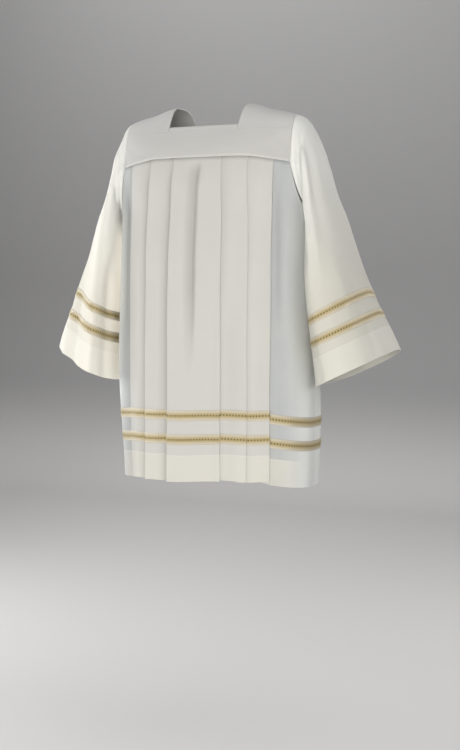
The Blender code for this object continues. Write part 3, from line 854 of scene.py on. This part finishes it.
# the relief over a braid: raised edges with slanting ribs, and a chain of ovals, each
# height = rise * exp(-((r - 0.85) / 0.3)^2) where r is the distance from its centre in its own radii
def braidRelief(along, across):
    off = np.abs(across)
    edge = np.clip((off - braid["chainHalf"]) / 0.10, 0, 1) * np.clip((1 - off) / 0.08, 0, 1)
    rib = 0.75 + 0.25 * np.sin(2 * math.pi * (along / braid["rib"] + off * braid["ribSlant"]))
    relief = braid["edgeRise"] * ease(edge) * rib
    centre = (np.floor(along / braid["link"]) + 0.5) * braid["link"]
    radius = np.hypot((along - centre) / (braid["ovalLength"] * braid["link"]),
                      across / (braid["chainHalf"] * braid["ovalWidth"]))
    chain = braid["chainRise"] * np.exp(-((radius - 0.85) / 0.30) ** 2)
    return np.maximum(relief, chain * (off < braid["chainHalf"]))


# columns of a grid moved to even spacing along its middle row
def evenColumns(grid, spacing, closed=False):
    if closed:
        grid = np.concatenate([grid, grid[:, :1]], 1)
    along = lengthAlong(grid[len(grid) // 2])
    count = int(round(along[-1] / spacing))
    places = np.linspace(0, along[-1], count + 1)
    index = np.clip(np.searchsorted(along, places, "right") - 1, 0, len(along) - 2)
    share = ((places - along[index]) / (along[index + 1] - along[index]))[None, :, None]
    even = grid[:, index] * (1 - share) + grid[:, index + 1] * share
    return (even[:, :-1], places) if closed else (even, places)


def addBraid(name, node, grid, normals, places, closed=False):
    across = np.linspace(-1, 1, len(grid))[:, None]
    along = places[:-1] if closed else places
    relief = braidRelief(along[None, :], across)
    measures = np.stack(np.broadcast_arrays(places[None, :], across), -1)
    half = braid["thick"] / 2
    piece = shell(name, grid, normals, (half + relief)[..., None], half, measures, closed)
    dress(piece, node, "goldBraid")


# a hem braid: the panel's own grid over the braid's width, moved out
def addHemBraid(name, node, side, distance):
    heights = body["hem"] + distance + np.linspace(0.5, -0.5, braid["across"]) * braid["width"]
    lift = pleats["cloth"] / 2 + braid["gap"] + braid["thick"] / 2
    grid = pleatedGrid([(z, 0.0, 0.0) for z in heights], side, lift)[0]
    grid, places = evenColumns(grid, braid["spacing"])
    addBraid(name, node, grid, gridNormals(grid, (0, side, 0)), places)


# a sleeve's braid: the sleeve's own grid over the braid's width, moved out
def addSleeveBraid(name, node, hand, distance):
    grid, normals, places, length, _ = sleeveGrid(hand)
    down = length - distance + np.linspace(-0.5, 0.5, braid["across"]) * braid["width"]
    lift = sleeve["cloth"] / 2 + braid["gap"] + braid["thick"] / 2
    rings = smoothThrough(places, grid + normals * lift, down)
    rings, along = evenColumns(rings, braid["spacing"], True)
    mirror = np.array([hand, 1, 1])
    ways = gridNormals(rings, rings - rings.mean(1, keepdims=True), True)
    addBraid(name, node, rings * mirror, ways * mirror, along, True)


# Stitches

thread = {
    "pitch": 0.0030,
    "length": 0.0023,
    "radius": 0.00022,
    "sides": 6,
    "stations": 5,
    "look": 0.0008,           # how far to each side a stitch looks for its direction
    "sink": 0.9,              # how far its ends sink, in radii
}


# a row of stitches along a line: each is a short rounded run of thread, thickest in its middle and
# sunk into the cloth at both ends
def addStitches(name, lines):
    places, ways, ups = [], [], []
    for points, normals in lines:
        along = lengthAlong(points)
        spots = np.arange(thread["pitch"] / 2, along[-1], thread["pitch"])
        ahead = pointsAt(spots + thread["look"], along, points)
        behind = pointsAt(spots - thread["look"], along, points)
        places.append(pointsAt(spots, along, points))
        ways.append(unit(ahead - behind))
        ups.append(unit(pointsAt(spots, along, normals)))
    centre, way, up = np.vstack(places), np.vstack(ways), np.vstack(ups)
    aside = unit(np.cross(way, up))
    bend = np.linspace(-1, 1, thread["stations"])
    girth = np.sqrt(np.maximum(1 - (bend * 0.96) ** 2, 0))
    turn = np.linspace(0, 2 * math.pi, thread["sides"], endpoint=False)
    radius = thread["radius"] * girth[:, None]
    sunk = thread["radius"] * thread["sink"] * (1 - girth[:, None])
    outward = (radius * np.sin(turn) - sunk)[None, :, :, None]
    sideways = (radius * np.cos(turn))[None, :, :, None]
    forward = (bend * thread["length"] / 2)[None, :, None, None]
    points = (centre[:, None, None] + way[:, None, None] * forward + up[:, None, None] * outward
              + aside[:, None, None] * sideways)
    count, stations, sides = points.shape[:3]
    index = np.arange(count * stations * sides).reshape(count, stations, sides)
    nextSide = np.roll(index, -1, 2)
    faces = np.stack([index[:, :-1], nextSide[:, :-1], nextSide[:, 1:], index[:, 1:]], -1).reshape(-1, 4)
    piece = addMesh(name, points.reshape(-1, 3), faces, np.ones(len(faces), bool))
    finish(piece, "thread")
    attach(piece, "root")


# Materials

# colours of one layer and of two; of the stretch set apart from the rest, which holds painted light and
# shade: painted shade, darker and cooler, on the plain sides of a panel, and painted light, paler, on the
# top of the yoke and of a sleeve (there partly also the cloth's own tone); a panel's painted light towards
# the back and its painted shade down in the folds; and the colour of a sleeve's painted glow
clothLooks = {
    "bodyCloth": {
        # apart: painted shade, darker and cooler on the plain sides
        "single": (0.500, 0.491, 0.464), "double": (0.565, 0.549, 0.497), "apart": (0.412, 0.425, 0.424),
        # turned: painted light, paler where the panel turns to the back
        "paintedTurnLight": (0.700, 0.712, 0.695), "deep": (0.200, 0.195, 0.182), "roughness": 0.78,
    # deep: the colour of the painted shade down in the folds
    },
    "yokeCloth": {
        # apart: painted light, paler on the upper yoke and the shoulders
        "single": (0.490, 0.482, 0.465), "double": (0.530, 0.522, 0.500), "apart": (0.560, 0.552, 0.538),
        "roughness": 0.78,
    },
    "sleeveCloth": {
        # apart: the sleeve's top paler and cooler, partly the cloth's own tone there, partly painted light
        "single": (0.535, 0.520, 0.458), "double": (0.590, 0.578, 0.520), "apart": (0.690, 0.692, 0.665),
        # through: the emission colour of the right sleeve's painted glow
        "through": (0.475, 0.435, 0.375), "roughness": 0.72,
    },
}
# where the plain side and its painted shade begin and where it turns to the back and its painted light
# begins, how far up the tops of a sleeve and of the yoke, with their painted light, begin and end, and the
# steps of the cloth's slow unevenness
lookPlaces = {
    "side": (0.298, 0.302), "turn": (0.33, 0.42), "top": (0.12, 0.55), "shoulder": (0.03, 0.12),
    "mottle": (0.30, 0.72),
}
threadLook = {"colour": (0.80, 0.79, 0.75), "roughness": 0.55}
braidLook = {
    "edge": (0.515, 0.465, 0.375), "gold": (0.415, 0.338, 0.182), "chain": (0.370, 0.295, 0.135),
    # hole: painted shade in the holes of the chain's links
    "linkHoleShade": (0.10, 0.07, 0.03), "roughness": 0.50, "thread": 0.0011,
}
weave = {"pitch": 0.00075, "depth": 0.00006, "slub": 0.8}


# one value in a material: sums, products and comparisons of it make Math nodes
class Value:
    def __init__(self, look, socket):
        self.look, self.socket = look, socket

    def math(self, operation, first, second=None):
        sockets = {0: first} if second is None else {0: first, 1: second}
        return self.look.node("Math", {"operation": operation}, sockets)

    def __add__(self, other):
        return self.math("ADD", self, other)

    def __radd__(self, other):
        return self.math("ADD", other, self)

    def __sub__(self, other):
        return self.math("SUBTRACT", self, other)

    def __rsub__(self, other):
        return self.math("SUBTRACT", other, self)

    def __mul__(self, other):
        return self.math("MULTIPLY", self, other)

    def __rmul__(self, other):
        return self.math("MULTIPLY", other, self)

    def __truediv__(self, other):
        return self.math("DIVIDE", self, other)

    def wave(self, length):
        return self.math("COSINE", self * (2 * math.pi / length))

    def size(self):
        return self.math("ABSOLUTE", self)

    # 0 below the first value and 1 above the second, with a soft step between
    def step(self, low, high):
        return self.look.node("MapRange", {"interpolation_type": "SMOOTHSTEP"},
                              {"Value": self, "From Min": low, "From Max": high})


# a material's node tree. node() adds any node: its settings first, then its socket values or links
class Look:
    def __init__(self, name, **sockets):
        self.material = bpy.data.materials.new(name)
        self.material.use_nodes = True
        self.tree = self.material.node_tree
        self.shader = self.tree.nodes["Principled BSDF"]
        for key, value in sockets.items():
            self.set(key.replace("_", " "), value)

    def feed(self, socket, value):
        if isinstance(value, Value):
            self.tree.links.new(value.socket, socket)
        elif isinstance(value, tuple) and len(socket.default_value) == 4:
            socket.default_value = (*value, 1)
        else:
            socket.default_value = value

    def node(self, kind, settings=None, sockets=None, output=0):
        made = self.tree.nodes.new("ShaderNode" + kind)
        for key, value in (settings or {}).items():
            setattr(made, key, value)
        for key, value in (sockets or {}).items():
            self.feed(made.inputs[key], value)
        return Value(self, made.outputs[output])

    def blend(self, share, first, second):
        return self.node("Mix", {"data_type": "RGBA"}, {0: share, 6: first, 7: second}, 2)

    def measure(self):
        place = self.node("UVMap", {"uv_map": "cloth"})
        return [self.node("SeparateXYZ", None, {0: place}, axis) for axis in (0, 1)]

    def set(self, name, value):
        self.feed(self.shader.inputs[name], value)

    def bump(self, height, distance):
        self.set("Normal", self.node("Bump", None, {"Height": height, "Distance": distance}))

    def noise(self, scale, detail, roughness=0.5):
        place = self.node("TexCoord", None, None, 3)
        return self.node("TexNoise", None, {"Vector": place, "Scale": scale, "Detail": detail,
                                            "Roughness": roughness})


# a plain weave: threads over and under each other every half pitch, with slow thick and thin places
def weaveHeight(look, along, across):
    return along.wave(weave["pitch"]) * across.wave(weave["pitch"]) + look.noise(420.0, 2.0) * weave["slub"]


# a cloth: two layers where it is turned up; painted shade, darker and cooler, on a panel's plain sides;
# painted light, paler, on the tops of the yoke and a sleeve, there partly also the cloth's own tone; a slow
# unevenness; painted light where a panel turns to the back and painted shade down in its folds; and a
# sleeve's painted glow of emission
def makeClothLook(name, settings):
    look = Look(name, Roughness=settings["roughness"], Sheen_Weight=0.12, Sheen_Roughness=0.45, IOR=1.42)
    along, across = look.measure()
    mottle = look.noise(9.0, 3.0, 0.55).step(*lookPlaces["mottle"])
    # the stored share: a sleeve's painted glow, a panel's painted shade down in its folds
    tone = look.node("Attribute", {"attribute_name": "tone"}, None, 2)
    double = 1 - across.step(pleats["hemDepth"] - 0.002, pleats["hemDepth"] + 0.001)
    # painted shade: a panel's plain sides darker and cooler
    apart = along.size().step(*lookPlaces["side"])
    if name == "yokeCloth":
        double = 1 - across.step(yoke["seamRidge"] - 0.001, yoke["seamRidge"] + 0.001)
        # painted light: the upper yoke and the shoulders paler
        apart = across.step(*lookPlaces["shoulder"])
    if name == "sleeveCloth":
        # the sleeve's top paler: partly its cloth's own tone, partly painted light where little lamp light
        # reaches
        apart = across.step(*lookPlaces["top"])
        # painted glow: emission in the through colour, by the stored share, standing in for light through
        # the cloth
        look.set("Emission Color", look.blend(tone, (0, 0, 0), settings["through"]))
        look.set("Emission Strength", 1.0)
    single = look.blend(apart, settings["single"], settings["apart"])
    colour = look.blend(double * 0.85 + mottle * 0.15, single, settings["double"])
    if name == "bodyCloth":
        # painted light: paler where the panel turns towards the back
        colour = look.blend(along.size().step(*lookPlaces["turn"]), colour, settings["paintedTurnLight"])
        # painted shade: darker down in the folds, by the stored share
        colour = look.blend(tone * 0.35, colour, settings["deep"])
    look.set("Base Color", colour)
    look.bump(weaveHeight(look, along, across), weave["depth"])
    return look.material


# pale gold threads at the edges, a golden chain in the middle, and painted shade, near black, in the holes
# of its links
def makeBraidLook():
    look = Look("goldBraid", Roughness=braidLook["roughness"], Metallic=0.2, Sheen_Weight=0.1)
    along, across = look.measure()
    off = across.size()
    chain = 1 - off.step(braid["chainHalf"] - 0.12, braid["chainHalf"] + 0.10)
    gold = 1 - off.step(braid["chainHalf"], 0.85)
    threads = (along + across * 0.004).wave(braidLook["thread"])
    # painted shade in the holes of the links
    linkHoleShade = (1 - off.step(0.10, 0.22)) * (along.wave(braid["link"]) * -1).step(-0.2, 0.7)
    colour = look.blend(gold, braidLook["edge"], braidLook["gold"])
    colour = look.blend(chain, colour, braidLook["chain"])
    colour = look.blend(linkHoleShade, colour, braidLook["linkHoleShade"])
    look.set("Base Color", look.blend((threads + 1) * 0.06, colour, braidLook["chain"]))
    look.bump(threads, 0.0001)
    return look.material


looks = {name: makeClothLook(name, settings) for name, settings in clothLooks.items()}
looks["goldBraid"] = makeBraidLook()
looks["thread"] = Look("thread", Base_Color=threadLook["colour"], Roughness=threadLook["roughness"]).material
print("materials made")


def finish(piece, look):
    piece.data.materials.append(looks[look])


def dress(piece, node, look):
    finish(piece, look)
    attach(piece, "root")
    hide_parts(node)


# The garment

faces = {"Front": -1, "Back": 1}
hands = {"Left": 1, "Right": -1}

for word, side in faces.items():
    yokeBand("yokeBand" + word, "yoke_" + word.lower(), side)
for word, hand in hands.items():
    yokeShoulder("shoulderPiece" + word, "yoke_shoulder_" + word.lower(), hand)
print("yokes made")

for word, side in faces.items():
    addPanel("panel" + word, word.lower() + "_panel", side)
print("panels made")

for word, hand in hands.items():
    addSleeve("sleeve" + word, "sleeve_" + word.lower(), hand)
print("sleeves made")

for word, side in faces.items():
    for row, distance in braid["onHem"].items():
        addHemBraid(f"hemBraid{word}{row}", f"hem_braid_{word}_{row}".lower(), side, distance)
for word, hand in hands.items():
    for row, distance in braid["onCuff"].items():
        addSleeveBraid(f"sleeveBraid{word}{row}", f"sleeve_braid_{word}_{row}".lower(), hand, distance)
print("braids made")


# stitch lines: along both yoke seams, the neck edges, the hems and the cuffs
def yokeSeamLine(side, above):
    x = np.linspace(-yoke["half"] + 0.003, yoke["half"] - 0.003, 300)
    share = archShareAt(x, yoke["seam"] - yokeDip(x) + above)
    normal = shoulderNormal(x, share, side)
    return shoulderSurface(x, share, side) + normal * yoke["seamRidgeRise"], normal


def neckLines():
    lines = []
    inset = yoke["neckBorder"] - yoke["neckBorderEdge"]
    for side in (-1, 1):
        x = np.linspace(-yoke["neckHalfCorner"] + 0.002, yoke["neckHalfCorner"] - 0.002, 120)
        share = archShareAt(x, yoke["neckEdge"][side] - inset)
        normal = shoulderNormal(x, share, side)
        lines.append((shoulderSurface(x, share, side) + normal * yoke["neckBorderRise"], normal))
        for hand in (1, -1):
            top = np.linspace(0, 0.985, 60)
            x = yoke["neckHalfCorner"] + body["seamGap"] * 2 + inset
            x = x + (yoke["neckHalfTop"] - yoke["neckHalfCorner"]) * top
            seam = archShareAt(x, yoke["shoulderSeam"])
            share = seam + (1 - seam) * top
            normal = shoulderNormal(x, share, side)
            points = shoulderSurface(x, share, side) + normal * yoke["neckBorderRise"]
            lines.append((points * (hand, 1, 1), normal * (hand, 1, 1)))
    return lines


def hemLine(side):
    height = body["hem"] + pleats["hemDepth"] - 0.002
    lift = pleats["cloth"] / 2 + 0.0001
    rows = [(height + 0.001, 0.0, 0.0), (height, 0.0, 0.0), (height - 0.001, 0.0, 0.0)]
    grid = pleatedGrid(rows, side, lift)[0]
    return grid[1], gridNormals(grid, (0, side, 0))[1]


def cuffLine(hand):
    grid, normals, places, length, _ = sleeveGrid(hand)
    row = np.abs(places - (length - sleeve["hemDepth"] + 0.002)).argmin()
    points = grid[row] + normals[row] * (sleeve["cloth"] / 2 + 0.0001)
    points, normals = np.vstack([points, points[:1]]), np.vstack([normals[row], normals[row][:1]])
    return points * (hand, 1, 1), normals * (hand, 1, 1)


addStitches("stitchesYoke", [yokeSeamLine(side, above) for side in (-1, 1) for above in (0.0012, 0.0044)])
addStitches("stitchesNeck", neckLines())
addStitches("stitchesHem", [hemLine(side) for side in (-1, 1)])
addStitches("stitchesCuffs", [cuffLine(hand) for hand in (1, -1)])
print("stitches made")


# Stage: a pale floor that sweeps up into the backdrop

stage = {
    "floor": -1.50,
    "wall": 4.6,
    "bend": 1.2,
    "halfWidth": 9.0,
    "front": -6.0,
    "height": 5.0,
    "floorColour": (0.62, 0.61, 0.60),
    "wallColour": (0.35, 0.345, 0.345),
    "colourRise": (-1.50, -0.90),
}


def addBackdrop():
    turn = np.linspace(0, math.pi / 2, 24)
    radius = stage["bend"]
    profile = np.vstack([
        [(stage["front"], stage["floor"])],
        np.column_stack([stage["wall"] - radius + radius * np.sin(turn),
                         stage["floor"] + radius - radius * np.cos(turn)]),
        [(stage["wall"], stage["height"])],
    ])
    across = np.array([-stage["halfWidth"], stage["halfWidth"]])
    points = np.array([[(x, y, z) for x in across] for y, z in profile]).reshape(-1, 3)
    index = np.arange(len(points)).reshape(-1, 2)
    faces = np.column_stack([index[:-1, 0], index[:-1, 1], index[1:, 1], index[1:, 0]])
    piece = addMesh("backdrop", points, faces, np.ones(len(faces), bool))
    look = Look("backdrop", Roughness=0.9)
    place = look.node("TexCoord", None, None, 3)
    wall = look.node("SeparateXYZ", None, {0: place}, 2).step(*stage["colourRise"])
    look.set("Base Color", look.blend(wall, stage["floorColour"], stage["wallColour"]))
    piece.data.materials.append(look.material)


# lights: a broad one in front, one from the viewer's left that grazes the body, a fill from the right
lights = {
    # place, what it points at, size, power, colour
    "front": ((0.5, -3.6, -0.45), (0, 0, -0.45), 1.8, 108, (1.0, 0.99, 0.965)),
    "side": ((-2.60, 0.10, -0.20), (-0.2, 0, -0.45), 1.2, 51, (0.97, 0.99, 1.0)),
    "near": ((-1.15, -1.30, -0.30), (-0.2, 0, -0.45), 0.8, 3, (1.0, 1.0, 1.0)),
    "fill": ((2.9, -2.0, -0.1), (0, 0, -0.45), 2.2, 28, (1.0, 0.98, 0.95)),
    "rim": ((1.9, 1.6, 0.4), (0.3, 0, -0.3), 1.0, 25, (1.0, 1.0, 1.0)),
    "top": ((1.3, -0.5, 2.3), (0.1, 0, -0.2), 1.4, 14, (1.0, 1.0, 1.0)),
    "backdrop": ((-1.8, 2.4, 3.0), (-1.0, 4.6, -0.4), 2.6, 95, (1.0, 1.0, 1.0)),
}


def addLight(name, place, target, size, power, colour):
    lamp = bpy.data.lights.new(name, "AREA")
    lamp.shape = "SQUARE"
    lamp.size, lamp.energy, lamp.color = size, power, colour
    piece = bpy.data.objects.new(name, lamp)
    piece.location = place
    piece.rotation_euler = (Vector(target) - Vector(place)).to_track_quat("-Z", "Y").to_euler()
    bpy.context.scene.collection.objects.link(piece)


addBackdrop()
for name, settings in lights.items():
    addLight(name, *settings)

air = {"colour": (0.95, 0.97, 1.0, 1), "strength": 0.10}
world = bpy.data.worlds.new("studio")
world.use_nodes = True
background = world.node_tree.nodes["Background"]
background.inputs["Color"].default_value = air["colour"]
background.inputs["Strength"].default_value = air["strength"]
bpy.context.scene.world = world
bpy.context.scene.view_settings.view_transform = "Standard"

# The camera, where the photo was taken from
cameraPlace = {
    "azimuth": 21.93,
    "distance": 3.0,
    "height": -0.448,
    "turnBack": 0.51,
    "tilt": 3.27,
    "lens": 61.35,
}
turn = math.radians(cameraPlace["azimuth"])
camera = bpy.data.objects.new("camera", bpy.data.cameras.new("camera"))
camera.location = (cameraPlace["distance"] * math.sin(turn), -cameraPlace["distance"] * math.cos(turn),
                   cameraPlace["height"])
camera.rotation_euler = (math.radians(90 - cameraPlace["tilt"]), 0,
                         math.radians(cameraPlace["azimuth"] - cameraPlace["turnBack"]))
camera.data.lens = cameraPlace["lens"]
camera.data.sensor_width = 36
bpy.context.scene.collection.objects.link(camera)
bpy.context.scene.camera = camera
print("stage made")
